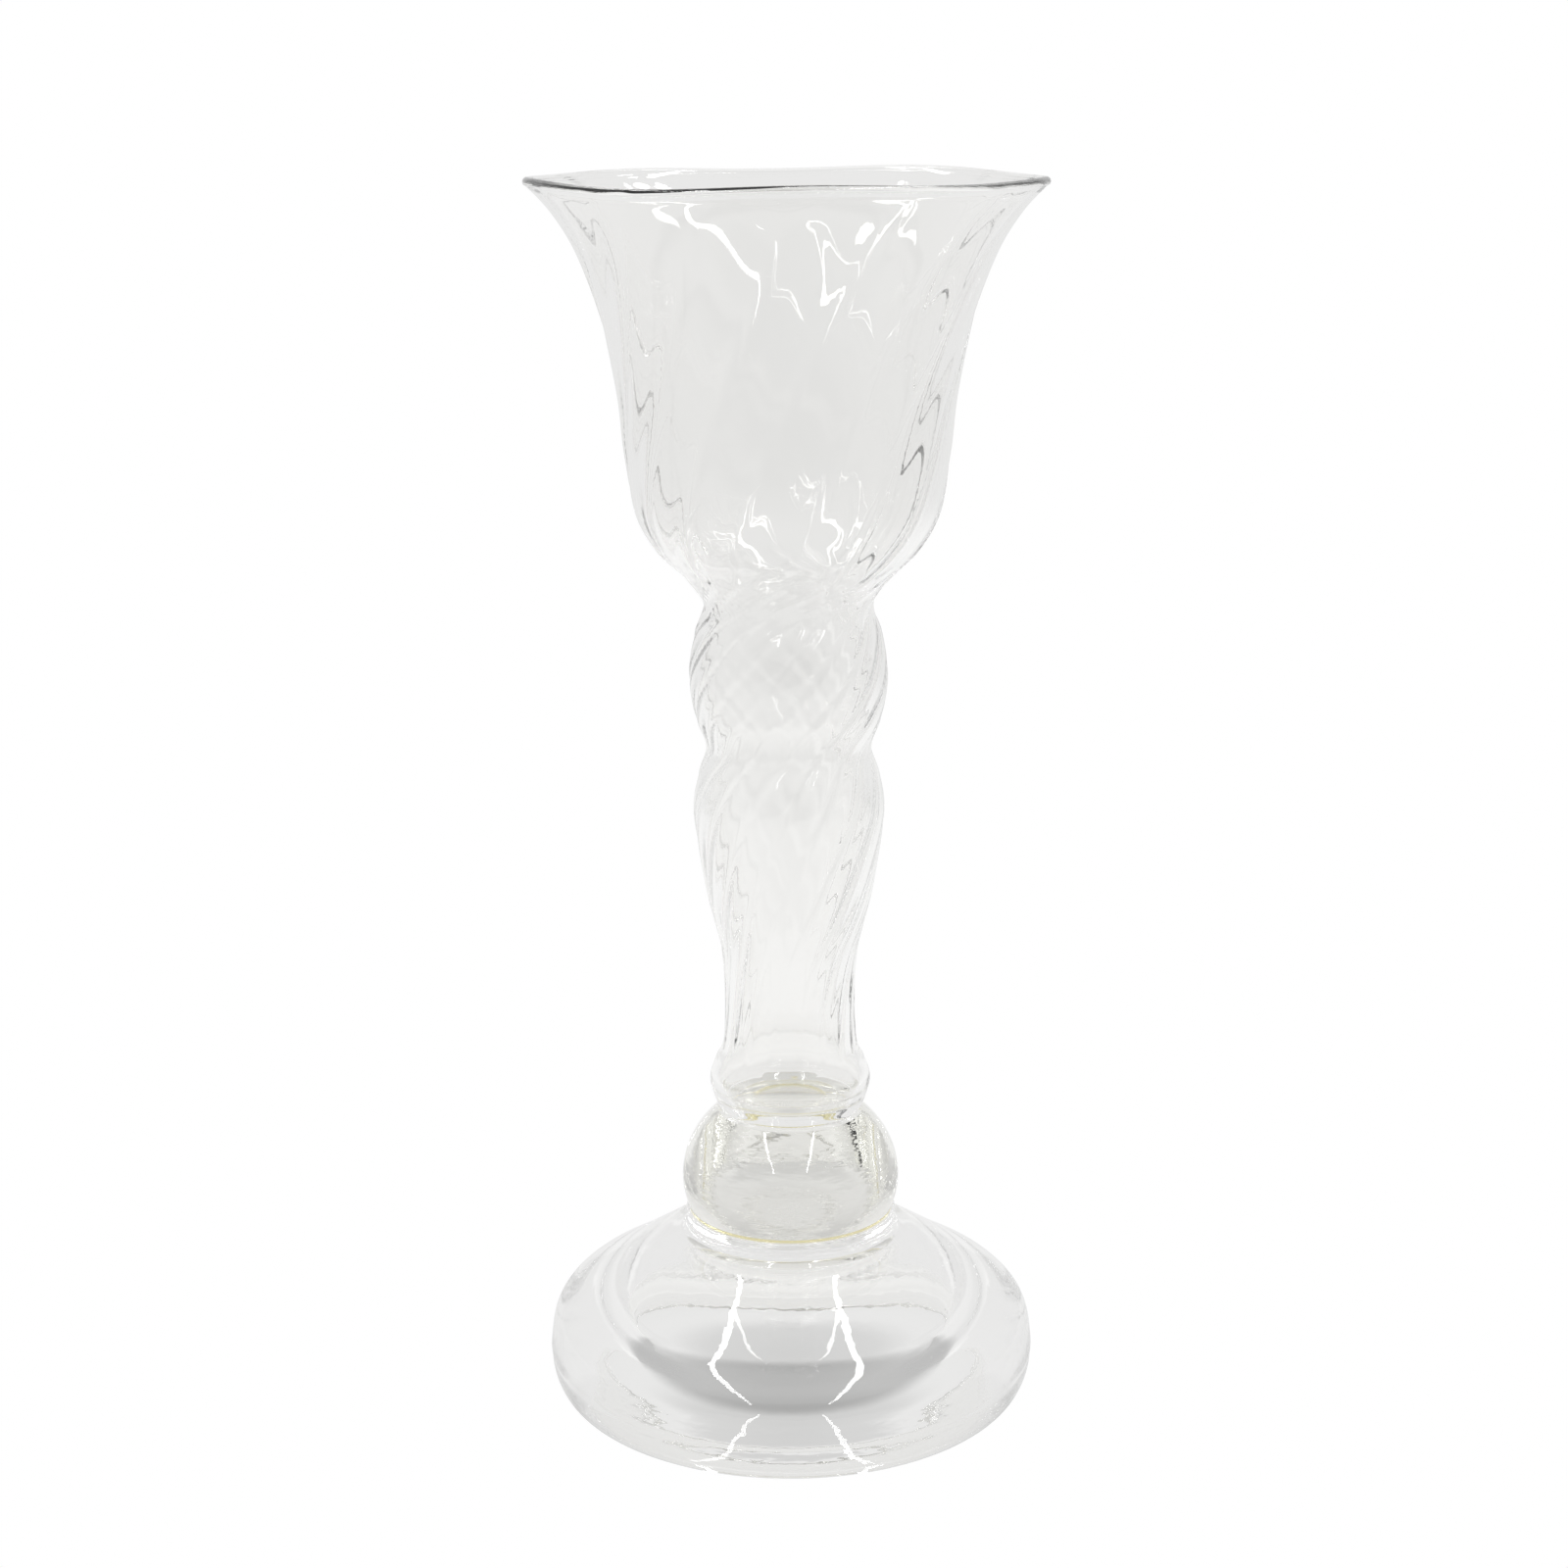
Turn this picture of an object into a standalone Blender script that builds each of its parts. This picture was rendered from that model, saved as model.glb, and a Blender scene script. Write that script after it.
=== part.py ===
"""Footed glass funnel.

A blown, twist-grooved funnel with a closed lower end is glued to a solid glass
ball, and the ball is glued to a heavy domed glass foot with a hollow underside.
All five pieces are turned around one vertical axis, which is the Z axis. The
foot's flat ring stands on the plane Z = 0.
"""

import math

import bmesh
import bpy

MM = 0.001  # the lengths below are in millimetres

# --- heights of the stack, from the table up -------------------------------
TOUCH_GAP = 0.3  # clearance kept between neighbouring pieces
BOND_THICKNESS = 0.5  # each layer of adhesive
FOOT_TOP = 46.6
BALL_BOTTOM = FOOT_TOP + BOND_THICKNESS + 2 * TOUCH_GAP
BALL_TOP = 72.4
FUNNEL_BOTTOM = BALL_TOP + BOND_THICKNESS + 2 * TOUCH_GAP

# --- foot: radius, height ---------------------------------------------------
FOOT_NECK = (  # from the top facet down to the sharp corner with the dome
    (26.0, FOOT_TOP),
    (26.0, 44.5),
    (26.3, 42.5),
    (27.2, 40.9),
)
FOOT_DOME = (  # from the neck down to the side
    (31.2, 39.4),
    (39.7, 34.0),
    (49.0, 28.0),
    (55.8, 23.8),
    (59.4, 19.0),
    (60.6, 12.0),
    (60.5, 9.5),
)
FOOT_CORNER_WIDTH = 6.2  # rounding from the side in to the flat ring
FOOT_CORNER_STEPS = 6
HOLLOW = (  # from the mouth up to the crown
    (51.3, 0.0),
    (50.4, 1.6),
    (48.3, 4.8),
    (45.3, 8.4),
    (42.9, 11.7),
    (42.2, 15.5),
    (40.0, 20.0),
    (34.0, 25.0),
    (27.0, 28.8),
    (19.0, 31.5),
    (10.0, 32.8),
    (0.0, 33.0),
)

# --- ball -------------------------------------------------------------------
BALL_CENTRE = 55.0
BALL_RADIUS = 26.9  # across the equator
BALL_HALF_HEIGHT = 23.5  # before its top and bottom are ground flat
BALL_SIDE_STEPS = 9

# --- adhesive ---------------------------------------------------------------
LOWER_BOND_RADIUS = 25.3
UPPER_BOND_RADIUS = 13.0
AIR_POCKET_RADIUS = 9.0  # left free by the adhesive over the ball

# --- funnel -----------------------------------------------------------------
FUNNEL_OUTSIDE = (  # radius, height: from the glued end up to the lip
    (17.6, FUNNEL_BOTTOM),
    (18.9, 76.5),
    (19.8, 81.0),
    (18.4, 85.6),
    (16.5, 90.0),
    (15.9, 101.0),
    (16.6, 114.0),
    (19.2, 124.5),
    (21.2, 135.0),
    (23.0, 149.0),
    (21.8, 158.0),
    (19.8, 165.0),
    (22.3, 172.5),
    (23.7, 182.5),
    (22.3, 192.5),
    (20.2, 200.0),
    (24.6, 206.5),
    (31.0, 213.0),
    (35.9, 222.0),
    (38.2, 236.0),
    (39.6, 250.0),
    (43.4, 268.0),
    (48.4, 282.0),
    (53.9, 291.0),
    (59.3, 296.8),
)
LIP_RADIUS = 1.1  # half the thickness of the fire-polished lip
LIP_SET_BACK = 0.1  # the lip's centre stands this far inside the last station
LIP_ARC = (-35.0, 165.0)  # degrees, from outside over the top to inside
LIP_STEPS = 5
WALL_AT_LIP = 2.0
WALL_IN_STEM = 2.4
FLOOR_HEIGHT = FUNNEL_BOTTOM + 2.4  # inside, at the middle of the closed end
FLOOR_RADIUS = 12.5
FLOOR_CORNER_WIDTH = 2.2  # the slope from the floor up to the wall
FLOOR_CORNER_RISE = 1.4
WALL_STARTS_ABOVE_FLOOR = 3.0

GROOVES = 15
GROOVE_TURN = (  # height, where one groove stands round the axis, in degrees
    (73.0, -236.0),
    (90.0, -228.0),
    (107.0, -217.0),
    (128.0, -192.0),
    (145.0, -173.0),
    (158.0, -156.0),
    (165.0, -142.0),
    (182.0, -104.0),
    (194.0, -78.0),
    (200.0, -56.0),
    (206.5, -25.0),
    (213.0, -17.0),
    (240.0, 0.0),
    (276.0, 23.6),
    (300.0, 35.0),
)
GROOVE_DEPTH = (  # height, half of lobe to groove
    (86.0, 0.0),
    (100.0, 0.16),
    (125.0, 0.26),
    (165.0, 0.22),
    (200.0, 0.26),
    (215.0, 0.38),
    (240.0, 0.42),
    (280.0, 0.42),
    (299.0, 0.15),
)
GROOVE_SHARPNESS = 2.4  # more is a narrower groove between rounder lobes
GROOVE_SINK = 2.0  # how far the groove goes in, in depths
LOBE_RISE = 0.6  # how far the lobe stands out, in depths
INSIDE_SHARE = 0.5  # the grooves are this much softer on the inside

RIM_WAVE_FROM = 250.0  # the lip's rise and fall fades out at this height
RIM_WAVE_TO = 298.0
RIM_WAVE_TURN = 56.0  # degrees round the axis to its highest point
RIM_WAVES = ((5, 0.35), (3, 0.25))  # waves round the lip, height of each

OUTSIDE_STEPS = 2  # points that each stretch of the funnel's outside is cut into
FUNNEL_SEGMENTS = 75  # five to each groove
FOOT_SEGMENTS = 60
BALL_SEGMENTS = 48


def clear_scene():
    """Remove every object that a new file starts with."""
    for obj in list(bpy.data.objects):
        bpy.data.objects.remove(obj, do_unlink=True)


def smooth_curve(points, steps):
    """A Catmull-Rom curve through the points, as a longer list of points."""
    curve = []
    for i in range(len(points) - 1):
        p0 = points[max(i - 1, 0)]
        p1, p2 = points[i], points[i + 1]
        p3 = points[min(i + 2, len(points) - 1)]
        for step in range(steps):
            t = step / steps
            curve.append(tuple(
                0.5 * (2 * b + (c - a) * t
                       + (2 * a - 5 * b + 4 * c - d) * t ** 2
                       + (3 * b - a - 3 * c + d) * t ** 3)
                for a, b, c, d in zip(p0, p1, p2, p3)))
    curve.append(tuple(points[-1]))
    return curve


def value_at(table, x):
    """Read a two-column table at x, with straight lines between its rows."""
    if x <= table[0][0]:
        return table[0][1]
    for (x0, y0), (x1, y1) in zip(table, table[1:]):
        if x <= x1:
            return y0 + (y1 - y0) * (x - x0) / (x1 - x0)
    return table[-1][1]


def arc(centre, radius, start, end, steps):
    """Points on an arc in the radius-height plane. Angles are in degrees."""
    points = []
    for step in range(steps + 1):
        angle = math.radians(start + (end - start) * step / steps)
        points.append((centre[0] + radius * math.cos(angle),
                       centre[1] + radius * math.sin(angle)))
    return points


def offset_inwards(outline, distance_at):
    """Move an upward outline towards the axis, square to itself."""
    moved = []
    for i, (r, z) in enumerate(outline):
        r0, z0 = outline[max(i - 1, 0)]
        r1, z1 = outline[min(i + 1, len(outline) - 1)]
        length = math.hypot(r1 - r0, z1 - z0)
        wall = distance_at(z)
        moved.append((r - wall * (z1 - z0) / length, z + wall * (r1 - r0) / length))
    return moved


def turned_mesh(name, outline, segments, shape=None):
    """Turn an outline of (radius, height) around Z into one closed mesh.

    The outline runs with the glass on its left: up the outside and down the
    inside. An end on the axis closes in a fan; an outline with no end on the
    axis closes on itself as a ring. shape may move a point of a given angle.
    """
    bm = bmesh.new()
    rings = []
    for r, z in outline:
        if r < 1e-6:
            rings.append([bm.verts.new((0, 0, z * MM))])
            continue
        ring = []
        for i in range(segments):
            angle = math.tau * i / segments
            radius, height = shape(r, z, angle) if shape else (r, z)
            ring.append(bm.verts.new((radius * math.cos(angle) * MM,
                                      radius * math.sin(angle) * MM,
                                      height * MM)))
        rings.append(ring)
    closed = len(rings[0]) > 1
    pairs = list(zip(rings, rings[1:]))
    if closed:
        pairs.append((rings[-1], rings[0]))
    for lower, upper in pairs:
        for i in range(segments):
            j = (i + 1) % segments
            corners = [lower[i % len(lower)], lower[j % len(lower)],
                       upper[j % len(upper)], upper[i % len(upper)]]
            bm.faces.new(list(dict.fromkeys(corners)))
    bmesh.ops.recalc_face_normals(bm, faces=bm.faces)
    mesh = bpy.data.meshes.new(name)
    bm.to_mesh(mesh)
    bm.free()
    return mesh


def add_part(name, mesh, material, crease=35.0):
    """Put a mesh in the scene as a smooth-shaded object with one material."""
    mesh.materials.append(material)
    mesh.shade_smooth()
    mesh.set_sharp_from_angle(angle=math.radians(crease))
    obj = bpy.data.objects.new(name, mesh)
    bpy.context.scene.collection.objects.link(obj)
    return obj


def clear_material(name, colour, roughness, ior):
    """A see-through material with the given tint."""
    material = bpy.data.materials.new(name)
    material.use_nodes = True
    shader = material.node_tree.nodes["Principled BSDF"]
    shader.inputs["Base Color"].default_value = (*colour, 1.0)
    shader.inputs["Roughness"].default_value = roughness
    shader.inputs["IOR"].default_value = ior
    shader.inputs["Transmission Weight"].default_value = 1.0
    material.diffuse_color = (*colour, 1.0)
    return material


def foot_outline():
    """The foot: its facet, neck, dome, flat ring and hollow, back to the axis."""
    side, height = FOOT_DOME[-1]
    corner = []
    for step in range(1, FOOT_CORNER_STEPS + 1):
        angle = math.pi / 2 * step / FOOT_CORNER_STEPS
        corner.append((side - FOOT_CORNER_WIDTH * (1.0 - math.cos(angle)),
                       height * (1.0 - math.sin(angle))))
    return [(0.0, FOOT_TOP), *FOOT_NECK, *FOOT_DOME, *corner, *HOLLOW]


def ball_outline():
    """The ball, ground flat at its top and bottom."""
    low = math.degrees(math.asin((BALL_BOTTOM - BALL_CENTRE) / BALL_HALF_HEIGHT))
    high = math.degrees(math.asin((BALL_TOP - BALL_CENTRE) / BALL_HALF_HEIGHT))
    flatten = BALL_HALF_HEIGHT / BALL_RADIUS
    side = [(r, BALL_CENTRE + z * flatten)
            for r, z in arc((0.0, 0.0), BALL_RADIUS, low, high,
                             BALL_SIDE_STEPS)]
    return [(0.0, BALL_BOTTOM)] + side + [(0.0, BALL_TOP)]


def wall_thickness(height):
    """Thickness of the blown wall at a height."""
    top = FUNNEL_OUTSIDE[-1][1]
    share = (height - FUNNEL_BOTTOM) / (top - FUNNEL_BOTTOM)
    return WALL_IN_STEM + (WALL_AT_LIP - WALL_IN_STEM) * share


def funnel_outlines():
    """The funnel's outside going up, then its lip and its inside going down."""
    outside = smooth_curve(FUNNEL_OUTSIDE, OUTSIDE_STEPS)
    tip = outside[-1]
    lip = arc((tip[0] - LIP_SET_BACK, tip[1] + LIP_RADIUS), LIP_RADIUS, *LIP_ARC, LIP_STEPS)
    inside = offset_inwards(FUNNEL_OUTSIDE, wall_thickness)
    wall_foot = FLOOR_HEIGHT + WALL_STARTS_ABOVE_FLOOR
    inside = [(r, z) for r, z in inside if wall_foot < z < tip[1]]
    inside.reverse()
    floor = [(FLOOR_RADIUS + FLOOR_CORNER_WIDTH, FLOOR_HEIGHT + FLOOR_CORNER_RISE),
             (FLOOR_RADIUS, FLOOR_HEIGHT), (0.0, FLOOR_HEIGHT)]
    return outside, lip + inside + floor


def groove_relief(height, angle):
    """How far the lobes stand out (+) and the grooves go in (-) at one place."""
    turn = math.radians(value_at(GROOVE_TURN, height))
    groove = math.exp(GROOVE_SHARPNESS * (math.cos(GROOVES * (angle - turn)) - 1.0))
    return value_at(GROOVE_DEPTH, height) * (LOBE_RISE - GROOVE_SINK * groove)


def rim_lift(height, angle):
    """How far the uneven lip rises or falls at an angle round the axis."""
    share = (height - RIM_WAVE_FROM) / (RIM_WAVE_TO - RIM_WAVE_FROM)
    share = min(max(share, 0.0), 1.0) ** 2
    around = angle - math.radians(RIM_WAVE_TURN)
    return share * sum(rise * math.cos(count * around) for count, rise in RIM_WAVES)


def make_funnel(glass):
    """The blown funnel: its grooves are cut outside and show softly inside."""
    outside, rest = funnel_outlines()
    outer_points = set(outside)

    def shape(r, z, angle):
        share = 1.0 if (r, z) in outer_points else INSIDE_SHARE
        return r + share * groove_relief(z, angle), z + rim_lift(z, angle)

    outline = [(0.0, FUNNEL_BOTTOM)] + outside + rest
    mesh = turned_mesh("funnel", outline, FUNNEL_SEGMENTS, shape)
    return add_part("funnel", mesh, glass)


def make_bonds(adhesive):
    """The two layers of adhesive: a disc under the ball and a ring over it."""
    low = FOOT_TOP + TOUCH_GAP
    disc = [(0.0, low), (LOWER_BOND_RADIUS, low),
            (LOWER_BOND_RADIUS, low + BOND_THICKNESS), (0.0, low + BOND_THICKNESS)]
    add_part("lower_bond", turned_mesh("lower_bond", disc, BALL_SEGMENTS), adhesive)
    low = BALL_TOP + TOUCH_GAP
    ring = [(AIR_POCKET_RADIUS, low), (UPPER_BOND_RADIUS, low),
            (UPPER_BOND_RADIUS, low + BOND_THICKNESS),
            (AIR_POCKET_RADIUS, low + BOND_THICKNESS)]
    add_part("upper_bond", turned_mesh("upper_bond", ring, BALL_SEGMENTS), adhesive)


def main():
    clear_scene()
    blown = clear_material("blown_glass", (0.97, 0.98, 0.97), 0.02, 1.5)
    solid = clear_material("solid_glass", (0.96, 0.97, 0.96), 0.02, 1.5)
    pressed = clear_material("foot_glass", (0.96, 0.97, 0.96), 0.03, 1.5)
    adhesive = clear_material("yellowed_adhesive", (0.86, 0.78, 0.42), 0.2, 1.5)
    add_part("foot", turned_mesh("foot", foot_outline(), FOOT_SEGMENTS), pressed)
    add_part("ball_knop", turned_mesh("ball_knop", ball_outline(), BALL_SEGMENTS), solid)
    make_bonds(adhesive)
    make_funnel(blown)


main()
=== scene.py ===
"""Looks of the footed glass funnel: fine glass meshes, materials, studio and camera.

Lengths are in millimetres from the table, and outlines are (radius, height) from the
object's axis, unless a comment says otherwise.
"""
import math

import bpy
import numpy as np
from mathutils import Euler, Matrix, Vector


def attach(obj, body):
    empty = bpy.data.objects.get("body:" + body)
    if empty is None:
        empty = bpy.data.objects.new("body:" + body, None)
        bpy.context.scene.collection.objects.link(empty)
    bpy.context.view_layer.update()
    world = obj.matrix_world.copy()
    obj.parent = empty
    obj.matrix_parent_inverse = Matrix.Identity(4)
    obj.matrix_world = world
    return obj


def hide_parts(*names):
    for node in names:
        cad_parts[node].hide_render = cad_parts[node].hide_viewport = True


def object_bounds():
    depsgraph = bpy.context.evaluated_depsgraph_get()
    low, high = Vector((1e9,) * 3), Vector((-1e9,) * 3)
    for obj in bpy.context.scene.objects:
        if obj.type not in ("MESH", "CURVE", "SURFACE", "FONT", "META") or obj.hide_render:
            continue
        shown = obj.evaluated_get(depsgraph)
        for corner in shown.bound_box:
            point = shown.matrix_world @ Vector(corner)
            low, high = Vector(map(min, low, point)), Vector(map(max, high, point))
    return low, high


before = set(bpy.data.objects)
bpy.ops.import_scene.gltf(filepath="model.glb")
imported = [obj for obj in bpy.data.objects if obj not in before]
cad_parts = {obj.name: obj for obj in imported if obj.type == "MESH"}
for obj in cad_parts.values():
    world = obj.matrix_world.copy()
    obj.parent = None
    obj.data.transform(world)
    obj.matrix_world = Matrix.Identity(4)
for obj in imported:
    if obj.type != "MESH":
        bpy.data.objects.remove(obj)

CAD_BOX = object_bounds()
MM = 0.001

# --- camera: places in metres, turns in degrees ---------------------------------------
CAMERA_DISTANCE = 0.660  # from the object's axis, level
CAMERA_HEIGHT = 0.3250
CAMERA_SIDE = -0.0012  # the object stands just right of the middle of the picture
CAMERA_PITCH = 14.42  # below the horizon
CAMERA_ROLL = -0.26
FOCAL_LENGTH = 64.755  # in millimetres, as the sensor's width is
SENSOR_WIDTH = 36.0
NEAREST_SEEN = 0.01

# --- studio: lengths in metres, greys at shares of the way from one end to the other ----
WORLD_FRONT_TO_BACK = ((0.02, 0.35), (0.14, 0.6), (0.35, 0.88), (1.0, 0.83))
FLOOR_PAINTED_SHADE_OUTWARDS = (  # distance from the origin, grey; painted shadow, darkest under the foot, lighter around it and greyer again far out
    (0.0, 0.64), (0.02, 0.67), (0.038, 0.83), (0.06, 0.8), (0.085, 0.87),
    (0.3, 0.95), (1.0, 0.82),
)
SHADE_FRONT_TO_BACK = ((0.0, 1.0), (0.2, 0.62), (0.34, 0.62), (0.43, 1.0))
SHADE_HALF_DEPTH = 0.07  # the shade under the foot is spread over this, each way
FLOOR_HALF_SIZE = 3.0
FLOOR_GAP = 0.0002
STRIP_HEIGHT = 0.62
STRIP_WIDTH = 0.024
STRIP_STRENGTH = 14.0
STRIPS = (  # x, y of the back end, then of the front end of each ceiling strip
    ((-0.20, 0.17), (-0.32, -0.90)),
    ((0.17, 0.17), (0.30, -0.90)),
)
WHITE = (1.0, 1.0, 1.0)
BOUNCES = 36  # light runs far along the blown wall and round the lip

# --- foot ------------------------------------------------------------------------------
FOOT_TOP = 46.75
FOOT_NECK = ((26.0, FOOT_TOP), (26.0, 44.5), (26.3, 42.5), (27.2, 40.9))
FOOT_DOME = (  # from the sharp corner under the neck down to the side
    (27.2, 40.9), (31.2, 39.4), (39.7, 34.0), (49.0, 28.0),
    (55.8, 23.8), (59.4, 19.0), (60.6, 12.0), (60.5, 9.5),
)
FOOT_CORNER_WIDTH = 6.2  # rounding from the side in to the flat ring
HOLLOW = (  # from the mouth up to the crown
    (51.3, 0.0), (50.4, 1.6), (48.3, 4.8), (45.3, 8.4), (42.9, 11.7), (42.2, 15.5),
    (40.0, 20.0), (34.0, 25.0), (27.0, 28.8), (19.0, 31.5), (10.0, 32.8), (0.0, 33.0),
)

# --- ball ------------------------------------------------------------------------------
BALL_RADIUS = 26.9
BALL_HALF_HEIGHT = 23.5  # before its top and bottom are ground flat
BALL_CENTRE = 55.0
BALL_BOTTOM = 47.55
BALL_TOP = 72.55

# --- adhesive --------------------------------------------------------------------------
LOWER_BOND_RADIUS = 25.3
UPPER_BOND_RADIUS = 13.0
AIR_POCKET_RADIUS = 9.0  # left free by the adhesive over the ball
BOND_CLEARANCE = 0.01
BOND_RIM_DIP = 0.25  # how far the outer rim is hollowed
POCKET_RIM_DIP = 0.2

# --- funnel ----------------------------------------------------------------------------
FUNNEL_BOTTOM = 73.35
FUNNEL_OUTSIDE = (  # from the glued end up to the lip
    (17.6, FUNNEL_BOTTOM), (18.9, 76.5), (19.8, 81.0), (18.4, 85.6), (16.5, 90.0),
    (15.9, 101.0), (16.6, 114.0), (19.2, 124.5), (21.2, 135.0), (23.0, 149.0),
    (21.8, 158.0), (19.8, 165.0), (22.3, 172.5), (23.7, 182.5), (22.3, 192.5),
    (20.2, 200.0), (24.6, 206.5), (31.0, 213.0), (35.9, 222.0), (38.2, 236.0),
    (39.6, 250.0), (43.4, 268.0), (48.4, 282.0), (53.9, 291.0), (59.3, 296.8),
)
LIP_RADIUS = 1.1
LIP_SET_BACK = 0.1  # the lip's centre stands this far inside the last station
LIP_ARC = (-35.0, 165.0)  # degrees, from outside over the top to inside
WALL_AT_LIP = 2.0
WALL_IN_STEM = 2.4
FLOOR_HEIGHT = 75.9
FLOOR_CURVE = (  # inside, from the foot of the wall in over the closed end
    (14.7, FLOOR_HEIGHT + 1.0), (12.0, FLOOR_HEIGHT + 0.1),
    (8.0, FLOOR_HEIGHT), (4.0, FLOOR_HEIGHT),
)
WALL_STARTS_ABOVE_FLOOR = 3.0

GROOVES = 15
GROOVE_TURN = (  # height, where one groove stands round the axis, in degrees
    (73.0, -236.0), (90.0, -228.0), (107.0, -217.0), (128.0, -192.0), (145.0, -173.0),
    (158.0, -156.0), (165.0, -142.0), (182.0, -104.0), (194.0, -78.0), (200.0, -56.0),
    (206.5, -25.0), (213.0, -17.0), (240.0, 0.0), (276.0, 23.6), (300.0, 35.0),
)
GROOVE_DEPTH = (  # height, half of lobe to groove
    (86.0, 0.0), (100.0, 0.16), (125.0, 0.26), (165.0, 0.22), (200.0, 0.26),
    (215.0, 0.38), (240.0, 0.42), (280.0, 0.42), (299.0, 0.15),
)
GROOVE_SHARPNESS = 2.4  # more is a narrower groove between rounder lobes
GROOVE_SINK = 2.0  # how far the groove goes in, in depths
LOBE_RISE = 0.6  # how far the lobe stands out, in depths
INSIDE_SHARE = ((205.0, 0.95), (225.0, 0.5))  # height, depth inside as a share of outside

RIM_WAVE_FROM = 250.0  # the lip's rise and fall fades out at this height
RIM_WAVE_TO = 298.0
RIM_WAVE_TURN = 56.0  # degrees round the axis to its highest point
RIM_WAVES = ((5, 0.35), (3, 0.25))  # waves round the lip, height of each

# --- fineness: pieces that each stretch, arc or turn is cut into ------------------------
ROUND_SEGMENTS = 256
FUNNEL_SEGMENTS = 240
NECK_STEPS = 6
DOME_STEPS = 8
CORNER_STEPS = 14
BALL_STEPS = 60
BOND_RIM_STEPS = 6
OUTSIDE_STEPS = 9
INSIDE_STEPS = 7
LIP_STEPS = 14
FLOOR_STEPS = 5
TABLE_STEPS = 12
CORNER_TURN = 0.3  # in radians; sharper turns than this are held as corners
CORNER_HOLD = 0.12
GLUED_FACE_MARGIN = 0.002

# --- materials: tints from low to high, and surface waves -------------------------------
GLASS_IOR = 1.5
MATCHED_IOR = 1.0  # a bonded face bends no light
TINT_CELLS = (30.0, 30.0, 30.0)  # per metre along X, Y and Z
NOISE_DETAIL = 1.0
CLEAR_TINTS = ((0.968, 0.966, 0.955), (0.984, 0.983, 0.976))
# the ball's tint: the glass's own clear tint at the top, greyed towards the bottom by
# painted shade
BALL_TINT_AND_PAINTED_SHADE = ((0.79, 0.785, 0.768), (0.955, 0.953, 0.945))
BALL_PAINTED_SHADE_HEIGHTS = (58.0, 66.0)  # painted shade: grey below the first height and clear over the second
MATCHED_TINTS = ((1.0, 1.0, 0.98), (1.0, 1.0, 1.0))
ADHESIVE_TINTS = ((0.74, 0.62, 0.2), (0.88, 0.8, 0.38))
# each wave is (cells per metre along X, Y and Z; height in metres)
BLOWN_WAVES = (((45.0, 45.0, 25.0), 0.00012), ((160.0, 160.0, 90.0), 0.00002))
PRESSED_WAVES = (((240.0, 240.0, 700.0), 0.00003), ((60.0, 60.0, 60.0), 0.00006))
BALL_WAVES = (((260.0, 260.0, 800.0), 0.00002),)
ADHESIVE_WAVES = (((200.0, 200.0, 900.0), 0.00005),)


# --- curves ----------------------------------------------------------------------------
def smooth_curve(points, steps):
    """A Catmull-Rom curve through the points, as an array of more points."""
    curve = []
    for i in range(len(points) - 1):
        p0 = np.array(points[max(i - 1, 0)])
        p1, p2 = np.array(points[i]), np.array(points[i + 1])
        p3 = np.array(points[min(i + 2, len(points) - 1)])
        for step in range(steps):
            t = step / steps
            curve.append(0.5 * (2 * p1 + (p2 - p0) * t
                                + (2 * p0 - 5 * p1 + 4 * p2 - p3) * t ** 2
                                + (3 * p1 - p0 - 3 * p2 + p3) * t ** 3))
    curve.append(np.array(points[-1]))
    return np.array(curve)


def arc(centre, radius, start, end, steps):
    """Points on an arc in the radius-height plane. Angles are in degrees."""
    angles = np.radians(np.linspace(start, end, steps + 1))
    return np.column_stack([centre[0] + radius * np.cos(angles),
                            centre[1] + radius * np.sin(angles)])


def smooth_value(table, x):
    """Read a two-column table at x, smoothly between its rows."""
    fine = smooth_curve(table, TABLE_STEPS)
    return np.interp(x, fine[:, 0], fine[:, 1])


def hold_corners(outline):
    """Add a point close to each side of every sharp corner, so that flats shade flat."""
    held = [outline[0]]
    for before, corner, after in zip(outline, outline[1:], outline[2:]):
        into, out_of = corner - before, after - corner
        lengths = np.linalg.norm(into), np.linalg.norm(out_of)
        turn = math.acos(min(1.0, float(into @ out_of) / (lengths[0] * lengths[1])))
        if turn < CORNER_TURN:
            held.append(corner)
            continue
        if lengths[0] > 3 * CORNER_HOLD:
            held.append(corner - into / lengths[0] * CORNER_HOLD)
        held.append(corner)
        if lengths[1] > 3 * CORNER_HOLD:
            held.append(corner + out_of / lengths[1] * CORNER_HOLD)
    return np.vstack(held + [outline[-1]])


def offset_inwards(outline, distance_at):
    """Move an upward outline towards the axis, square to itself."""
    slope = np.gradient(outline, axis=0)
    slope /= np.linalg.norm(slope, axis=1)[:, None]
    wall = distance_at(outline[:, 1])
    return outline + np.column_stack([-slope[:, 1] * wall, slope[:, 0] * wall])


# --- meshes ----------------------------------------------------------------------------
def turned_points(rows, segments, shape):
    """A ring of points in metres for each row, in the order of the rows."""
    angles = np.linspace(0.0, math.tau, segments, endpoint=False)
    r = np.repeat(rows[:, 0][:, None], segments, axis=1)
    z = np.repeat(rows[:, 1][:, None], segments, axis=1)
    angle = np.repeat(angles[None, :], len(rows), axis=0)
    if shape:
        r, z = shape(r, z, angle)
    points = np.stack([r * np.cos(angle), r * np.sin(angle), z], axis=-1)
    return points.reshape(-1, 3) * MM


def ring_faces(index, closed):
    """Four-sided faces between neighbouring rings, and from last to first if closed."""
    lower, upper = index[:-1], index[1:]
    if closed:
        lower, upper = index, np.roll(index, -1, axis=0)
    quads = np.stack([lower, np.roll(lower, -1, axis=1),
                      np.roll(upper, -1, axis=1), upper], axis=-1)
    return quads.reshape(-1, 4).tolist()


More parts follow.
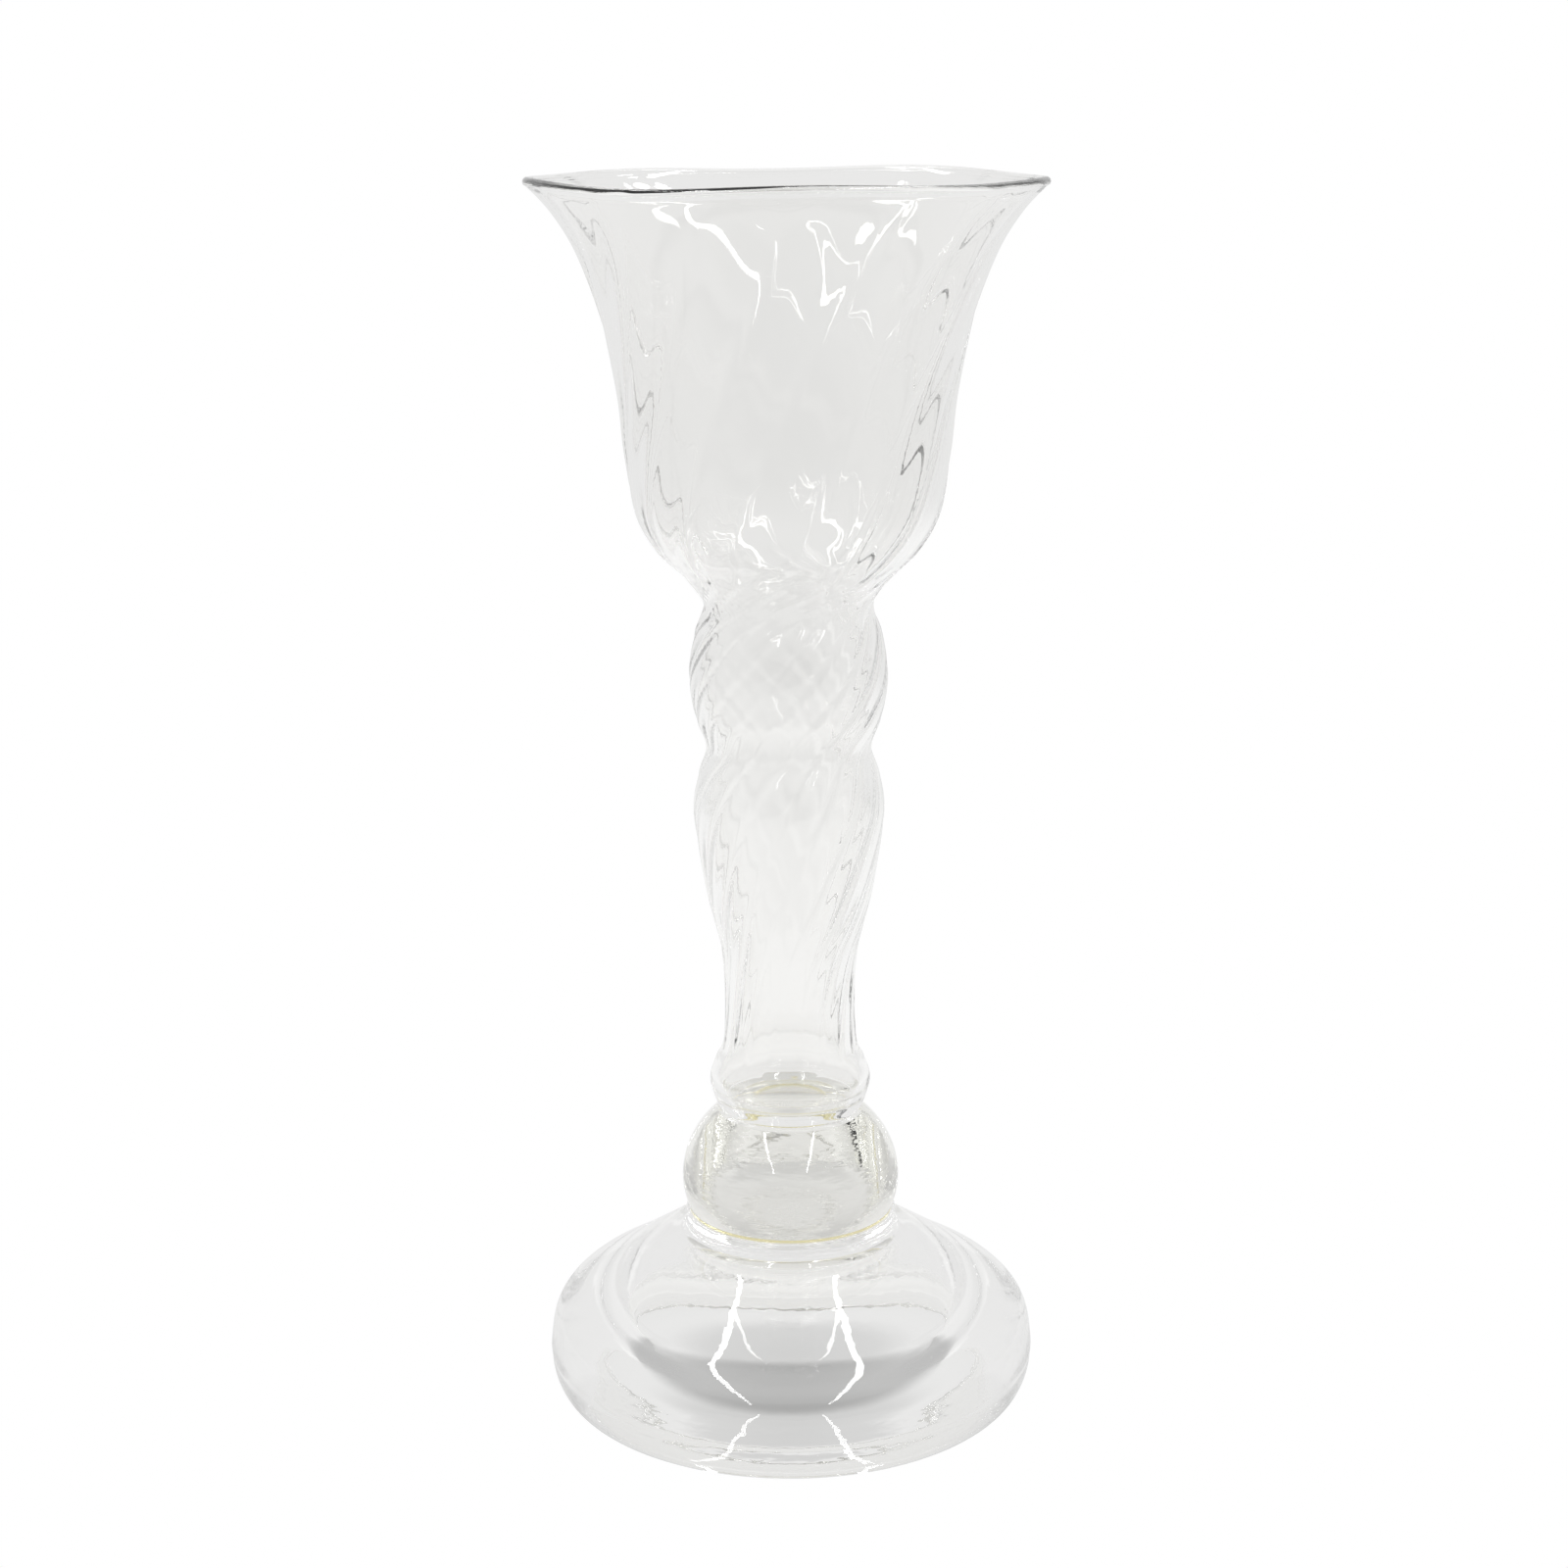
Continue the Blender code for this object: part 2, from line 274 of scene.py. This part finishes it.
def fan_faces(start, end, first, last):
    """Triangles that close the start ring at point first and the end ring at last."""
    fans = [[first, int(b), int(a)] for a, b in zip(start, np.roll(start, -1))]
    return fans + [[last, int(a), int(b)] for a, b in zip(end, np.roll(end, -1))]


def mark_glued_faces(mesh, glued):
    """Give the second material to level faces inside (height, inner, outer radius)."""
    for face in mesh.polygons:
        radius = math.hypot(face.center.x, face.center.y) / MM
        for height, inner, outer in glued:
            level = abs(face.center.z / MM - height) < GLUED_FACE_MARGIN
            if level and inner < radius < outer:
                face.material_index = 1


def turned_object(name, outline, segments, materials, shape=None, closed=False, glued=(),
                  hold=True):
    """Turn an outline of (radius, height) round Z into one smooth object.

    An open outline starts and ends on the axis. shape(r, z, angle) may move the
    points of the whole grid at once. Sharp corners are held unless hold is off.
    """
    outline = np.array(outline)
    if hold:
        outline = hold_corners(outline)
    rows = outline if closed else outline[1:-1]
    points = turned_points(rows, segments, shape)
    index = np.arange(len(points)).reshape(len(rows), segments)
    faces = ring_faces(index, closed)
    if not closed:
        faces += fan_faces(index[0], index[-1], len(points), len(points) + 1)
        ends = np.array([[0, 0, outline[0, 1]], [0, 0, outline[-1, 1]]]) * MM
        points = np.vstack([points, ends])
    mesh = bpy.data.meshes.new(name)
    mesh.from_pydata(points.tolist(), [], faces)
    for material in materials:
        mesh.materials.append(material)
    mesh.shade_smooth()
    mark_glued_faces(mesh, glued)
    obj = bpy.data.objects.new(name, mesh)
    bpy.context.scene.collection.objects.link(obj)
    return obj


def place(obj, node):
    """Make a piece stand for a CAD node on the object's one body."""
    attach(obj, "root")
    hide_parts(node)


# --- outlines of the pieces ------------------------------------------------------------
def foot_outline():
    """The foot, from the crown of its hollow out and up to the middle of its facet."""
    facet = [(0.0, FOOT_TOP), (LOWER_BOND_RADIUS, FOOT_TOP)]
    neck = smooth_curve(FOOT_NECK, NECK_STEPS)[:-1]
    dome = smooth_curve(FOOT_DOME, DOME_STEPS)
    side, height = dome[-1]
    around = np.radians(np.linspace(0, 90, CORNER_STEPS + 1))[1:]
    corner = np.column_stack([side - FOOT_CORNER_WIDTH * (1 - np.cos(around)),
                              height * (1 - np.sin(around))])
    return np.vstack([facet, neck, dome, corner, smooth_curve(HOLLOW, DOME_STEPS)])[::-1]


def ball_outline():
    """The ball, ground flat at its bottom and top, with an edge where each bond ends."""
    low = math.degrees(math.asin((BALL_BOTTOM - BALL_CENTRE) / BALL_HALF_HEIGHT))
    high = math.degrees(math.asin((BALL_TOP - BALL_CENTRE) / BALL_HALF_HEIGHT))
    side = arc((0.0, 0.0), 1.0, low, high, BALL_STEPS)
    side = np.column_stack([side[:, 0] * BALL_RADIUS,
                            BALL_CENTRE + side[:, 1] * BALL_HALF_HEIGHT])
    bottom = [(0.0, BALL_BOTTOM), (LOWER_BOND_RADIUS, BALL_BOTTOM)]
    top = [(UPPER_BOND_RADIUS, BALL_TOP), (AIR_POCKET_RADIUS, BALL_TOP), (0.0, BALL_TOP)]
    return np.vstack([bottom, side, top])


def bond_outline(low, high, radius, pocket):
    """The section of a layer of adhesive, with a slightly hollow rim."""
    low, high = low + BOND_CLEARANCE, high - BOND_CLEARANCE
    rise = np.linspace(0.0, 1.0, BOND_RIM_STEPS + 1)
    rim = np.column_stack([radius - BOND_RIM_DIP * np.sin(rise * math.pi),
                           low + (high - low) * rise])
    if not pocket:
        return np.vstack([[(0.0, low)], rim, [(0.0, high)]])
    inner = np.column_stack([pocket + POCKET_RIM_DIP * np.sin(rise * math.pi),
                             high - (high - low) * rise])
    return np.vstack([rim, inner])


def wall_thickness(height):
    """Thickness of the blown wall at a height."""
    share = (height - FUNNEL_BOTTOM) / (FUNNEL_OUTSIDE[-1][1] - FUNNEL_BOTTOM)
    return WALL_IN_STEM + (WALL_AT_LIP - WALL_IN_STEM) * share


def funnel_outline():
    """The funnel up its outside and down its inside, and how many rows are outside."""
    outside = smooth_curve(FUNNEL_OUTSIDE, OUTSIDE_STEPS)
    tip = outside[-1]
    lip = arc((tip[0] - LIP_SET_BACK, tip[1] + LIP_RADIUS), LIP_RADIUS, *LIP_ARC, LIP_STEPS)
    inside = offset_inwards(smooth_curve(FUNNEL_OUTSIDE, INSIDE_STEPS), wall_thickness)
    wall_foot = FLOOR_HEIGHT + WALL_STARTS_ABOVE_FLOOR
    inside = inside[(inside[:, 1] > wall_foot) & (inside[:, 1] < tip[1])][::-1]
    floor = smooth_curve((tuple(inside[-1]), *FLOOR_CURVE), FLOOR_STEPS)[1:]
    bottom = [(0.0, FUNNEL_BOTTOM), (AIR_POCKET_RADIUS, FUNNEL_BOTTOM),
              (UPPER_BOND_RADIUS, FUNNEL_BOTTOM)]
    outside_rows = len(bottom) + len(outside) - 1
    outline = np.vstack([bottom, outside, lip, inside, floor, [(0.0, FLOOR_HEIGHT)]])
    return outline, outside_rows


def groove_relief(height, angle):
    """How far the lobes stand out (+) and the grooves go in (-), in depths."""
    turn = np.radians(smooth_value(GROOVE_TURN, height))
    groove = np.exp(GROOVE_SHARPNESS * (np.cos(GROOVES * (angle - turn)) - 1.0))
    return LOBE_RISE - GROOVE_SINK * groove


def rim_lift(height, angle):
    """How far the uneven lip rises or falls at an angle round the axis."""
    share = (height - RIM_WAVE_FROM) / (RIM_WAVE_TO - RIM_WAVE_FROM)
    around = angle - math.radians(RIM_WAVE_TURN)
    wave = sum(rise * np.cos(count * around) for count, rise in RIM_WAVES)
    return np.clip(share, 0.0, 1.0) ** 2 * wave


# --- pieces ----------------------------------------------------------------------------
def make_foot(pressed, matched):
    """The heavy foot, whose facet is glued to the ball."""
    glued = [(FOOT_TOP, 0.0, LOWER_BOND_RADIUS)]
    foot = turned_object("foot_glass", foot_outline(), ROUND_SEGMENTS, (pressed, matched),
                         glued=glued)
    place(foot, "foot")


def make_ball(ground, matched):
    """The solid ball, glued all over its bottom facet and in a ring on its top one."""
    glued = [(BALL_BOTTOM, 0.0, LOWER_BOND_RADIUS),
             (BALL_TOP, AIR_POCKET_RADIUS, UPPER_BOND_RADIUS)]
    ball = turned_object("ball_glass", ball_outline(), ROUND_SEGMENTS, (ground, matched),
                         glued=glued)
    place(ball, "ball_knop")


def make_funnel(blown, matched):
    """The blown funnel: its grooves are cut outside and show more softly inside."""
    outline, outside_rows = funnel_outline()

    def shape(r, z, angle):
        depth = smooth_value(GROOVE_DEPTH, z)
        depth[outside_rows:] *= smooth_value(INSIDE_SHARE, z[outside_rows:])
        return r + depth * groove_relief(z, angle), z + rim_lift(z, angle)

    glued = [(FUNNEL_BOTTOM, AIR_POCKET_RADIUS, UPPER_BOND_RADIUS)]
    funnel = turned_object("funnel_glass", outline, FUNNEL_SEGMENTS, (blown, matched), shape,
                           glued=glued, hold=False)
    place(funnel, "funnel")


def make_bond(name, node, low, high, radius, pocket, materials):
    """A layer of adhesive between two heights. With a pocket it is a ring."""
    glued = [(low + BOND_CLEARANCE, pocket, radius), (high - BOND_CLEARANCE, pocket, radius)]
    layer = turned_object(name, bond_outline(low, high, radius, pocket), ROUND_SEGMENTS,
                          materials, closed=pocket > 0.0, glued=glued)
    place(layer, node)


# --- materials -------------------------------------------------------------------------
def new_material(name):
    """A new node material, with its nodes and links."""
    material = bpy.data.materials.new(name)
    material.use_nodes = True
    return material, material.node_tree.nodes, material.node_tree.links


def stretched_noise(nodes, links, cells_per_metre):
    """A noise over the object's own coordinates, with its cells per metre along X, Y, Z."""
    coord = nodes.new("ShaderNodeTexCoord")
    mapping = nodes.new("ShaderNodeMapping")
    mapping.inputs["Scale"].default_value = cells_per_metre
    noise = nodes.new("ShaderNodeTexNoise")
    noise.inputs["Scale"].default_value = 1.0
    noise.inputs["Detail"].default_value = NOISE_DETAIL
    links.new(coord.outputs["Object"], mapping.inputs["Vector"])
    links.new(mapping.outputs["Vector"], noise.inputs["Vector"])
    return noise.outputs["Fac"]


def height_share(nodes, links, low, high):
    """A share that rises smoothly from 0 to 1 between two heights."""
    coord = nodes.new("ShaderNodeTexCoord")
    split = nodes.new("ShaderNodeSeparateXYZ")
    span = nodes.new("ShaderNodeMapRange")
    span.interpolation_type = "SMOOTHSTEP"
    span.inputs["From Min"].default_value = low * MM
    span.inputs["From Max"].default_value = high * MM
    links.new(coord.outputs["Object"], split.inputs[0])
    links.new(split.outputs["Z"], span.inputs["Value"])
    return span.outputs["Result"]


def mixed_colour(nodes, links, share, low, high):
    """A colour between low and high, driven by share."""
    mix = nodes.new("ShaderNodeMix")
    mix.data_type = "RGBA"
    links.new(share, mix.inputs["Factor"])
    mix.inputs["A"].default_value = (*low, 1.0)
    mix.inputs["B"].default_value = (*high, 1.0)
    return mix.outputs["Result"]


def add_waves(nodes, links, shader, waves):
    """Make the surface uneven with one bump on another, one for each wave."""
    normal = None
    for cells, height in waves:
        bump = nodes.new("ShaderNodeBump")
        bump.inputs["Distance"].default_value = height
        links.new(stretched_noise(nodes, links, cells), bump.inputs["Height"])
        if normal:
            links.new(normal, bump.inputs["Normal"])
        normal = bump.outputs["Normal"]
    if normal:
        links.new(normal, shader.inputs["Normal"])


def glass_material(name, low, high, waves, ior=GLASS_IOR, heights=None):
    """Clear glass with an uneven surface and a tint that drifts from low to high.

    The tint follows a noise, or the height on the object between two heights, which the ball
    uses to paint shade on its lower part.
    """
    material, nodes, links = new_material(name)
    shader = nodes["Principled BSDF"]
    shader.inputs["Roughness"].default_value = 0.0
    shader.inputs["IOR"].default_value = ior
    shader.inputs["Transmission Weight"].default_value = 1.0
    if heights:
        drift = height_share(nodes, links, *heights)
    else:
        drift = stretched_noise(nodes, links, TINT_CELLS)
    links.new(mixed_colour(nodes, links, drift, low, high), shader.inputs["Base Color"])
    add_waves(nodes, links, shader, waves)
    return material


def emission_material(name, strength):
    """A white material that gives light."""
    material, nodes, links = new_material(name)
    nodes.remove(nodes["Principled BSDF"])
    light = nodes.new("ShaderNodeEmission")
    light.inputs["Color"].default_value = (*WHITE, 1.0)
    light.inputs["Strength"].default_value = strength
    links.new(light.outputs[0], nodes["Material Output"].inputs["Surface"])
    return material


# --- studio ----------------------------------------------------------------------------
def make_camera():
    """The camera, a little higher than the lip and looking down at the object."""
    data = bpy.data.cameras.new("camera")
    data.sensor_width = SENSOR_WIDTH
    data.lens = FOCAL_LENGTH
    data.clip_start = NEAREST_SEEN
    camera = bpy.data.objects.new("camera", data)
    bpy.context.scene.collection.objects.link(camera)
    camera.location = (CAMERA_SIDE, -CAMERA_DISTANCE, CAMERA_HEIGHT)
    level = Euler((math.radians(90.0 - CAMERA_PITCH), 0.0, 0.0)).to_matrix()
    roll = Euler((0.0, 0.0, math.radians(CAMERA_ROLL))).to_matrix()
    camera.rotation_euler = (level @ roll).to_euler()
    bpy.context.scene.camera = camera


def math_node(nodes, links, operation, *values):
    """A maths node. Each value is a number or a socket to link."""
    node = nodes.new("ShaderNodeMath")
    node.operation = operation
    for socket, value in zip(node.inputs, values):
        if isinstance(value, float):
            socket.default_value = value
        else:
            links.new(value, socket)
    return node.outputs[0]


def grey_ramp(nodes, links, value, stops):
    """A ramp of greys from (position, grey) stops, driven by value."""
    ramp = nodes.new("ShaderNodeValToRGB")
    ramp.color_ramp.interpolation = "EASE"
    while len(ramp.color_ramp.elements) < len(stops):
        ramp.color_ramp.elements.new(0.5)
    for element, (position, grey) in zip(ramp.color_ramp.elements, stops):
        element.position = position
        element.color = (grey, grey, grey, 1.0)
    links.new(value, ramp.inputs[0])
    return ramp.outputs[0]


def share_along_y(nodes, links, vector, half_depth):
    """A share from 0 to 1 along Y, over half_depth on each side of the origin."""
    split = nodes.new("ShaderNodeSeparateXYZ")
    links.new(vector, split.inputs[0])
    return math_node(nodes, links, "MULTIPLY_ADD", split.outputs["Y"], 0.5 / half_depth, 0.5)


def camera_sees_white(nodes, links, strength):
    """A strength socket: 1 straight from the camera, and strength by any other path."""
    path = nodes.new("ShaderNodeLightPath")
    mix = nodes.new("ShaderNodeMix")
    mix.data_type = "FLOAT"
    links.new(path.outputs["Is Camera Ray"], mix.inputs["Factor"])
    links.new(strength, mix.inputs["A"])
    mix.inputs["B"].default_value = 1.0
    return mix.outputs["Result"]


def make_world():
    """The studio's walls: greys from the front to the back, seen through the glass."""
    world = bpy.data.worlds.new("studio")
    bpy.context.scene.world = world
    world.use_nodes = True
    nodes, links = world.node_tree.nodes, world.node_tree.links
    background = nodes["Background"]
    background.inputs["Color"].default_value = (*WHITE, 1.0)
    coord = nodes.new("ShaderNodeTexCoord")
    depth = share_along_y(nodes, links, coord.outputs["Generated"], 1.0)
    grey = grey_ramp(nodes, links, depth, WORLD_FRONT_TO_BACK)
    links.new(camera_sees_white(nodes, links, grey), background.inputs["Strength"])


def add_light_sheet(name, corners, material):
    """A four-cornered sheet that gives light and isn't part of the object."""
    mesh = bpy.data.meshes.new(name)
    mesh.from_pydata(corners, [], [(0, 1, 2, 3)])
    mesh.materials.append(material)
    obj = bpy.data.objects.new(name, mesh)
    bpy.context.scene.collection.objects.link(obj)
    return obj


def make_floor():
    """The pale floor, white to the camera, with painted shade: greys outwards from the foot,
    and a shade under its front.
    """
    material = emission_material("floor_white", 1.0)
    nodes, links = material.node_tree.nodes, material.node_tree.links
    position = nodes.new("ShaderNodeNewGeometry").outputs["Position"]
    length = nodes.new("ShaderNodeVectorMath")
    length.operation = "LENGTH"
    links.new(position, length.inputs[0])
    grey = grey_ramp(nodes, links, length.outputs["Value"], FLOOR_PAINTED_SHADE_OUTWARDS)
    depth = share_along_y(nodes, links, position, SHADE_HALF_DEPTH)
    shade = grey_ramp(nodes, links, depth, SHADE_FRONT_TO_BACK)
    grey = math_node(nodes, links, "MULTIPLY", grey, shade)
    links.new(camera_sees_white(nodes, links, grey), nodes["Emission"].inputs["Strength"])
    size = FLOOR_HALF_SIZE
    corners = [(-size, -size, 0), (size, -size, 0), (size, size, 0), (-size, size, 0)]
    floor = add_light_sheet("floor", corners, material)
    floor.location.z = CAD_BOX[0].z - FLOOR_GAP


def make_strips():
    """Two long ceiling lamps, left and right of the object, running front to back."""
    material = emission_material("strip_lamp", STRIP_STRENGTH)
    half = STRIP_WIDTH / 2
    for number, (back, front) in enumerate(STRIPS):
        corners = [(back[0] - half, back[1], STRIP_HEIGHT),
                   (back[0] + half, back[1], STRIP_HEIGHT),
                   (front[0] + half, front[1], STRIP_HEIGHT),
                   (front[0] - half, front[1], STRIP_HEIGHT)]
        add_light_sheet(f"strip_lamp_{number}", corners, material)


# --- the whole scene -------------------------------------------------------------------
def make_studio():
    """Camera, surroundings and lamps, and how far light is followed through the glass."""
    scene = bpy.context.scene
    scene.view_settings.view_transform = "Standard"
    scene.cycles.max_bounces = BOUNCES
    scene.cycles.transmission_bounces = BOUNCES
    scene.cycles.glossy_bounces = BOUNCES
    make_camera()
    make_world()
    make_floor()
    make_strips()


def make_object():
    """The five pieces and their materials."""
    blown = glass_material("blown_glass", *CLEAR_TINTS, BLOWN_WAVES)
    pressed = glass_material("pressed_glass", *CLEAR_TINTS, PRESSED_WAVES)
    # the ball's glass turns grey towards its bottom by height: painted shade
    ground = glass_material("ball_glass", *BALL_TINT_AND_PAINTED_SHADE, BALL_WAVES, heights=BALL_PAINTED_SHADE_HEIGHTS)
    matched = glass_material("glued_face", *MATCHED_TINTS, (), MATCHED_IOR)
    adhesive = glass_material("adhesive_rim", *ADHESIVE_TINTS, ADHESIVE_WAVES)
    make_foot(pressed, matched)
    make_ball(ground, matched)
    make_funnel(blown, matched)
    make_bond("lower_bond_layer", "lower_bond", FOOT_TOP, BALL_BOTTOM,
              LOWER_BOND_RADIUS, 0.0, (adhesive, matched))
    make_bond("upper_bond_layer", "upper_bond", BALL_TOP, FUNNEL_BOTTOM,
              UPPER_BOND_RADIUS, AIR_POCKET_RADIUS, (adhesive, matched))


make_studio()
make_object()
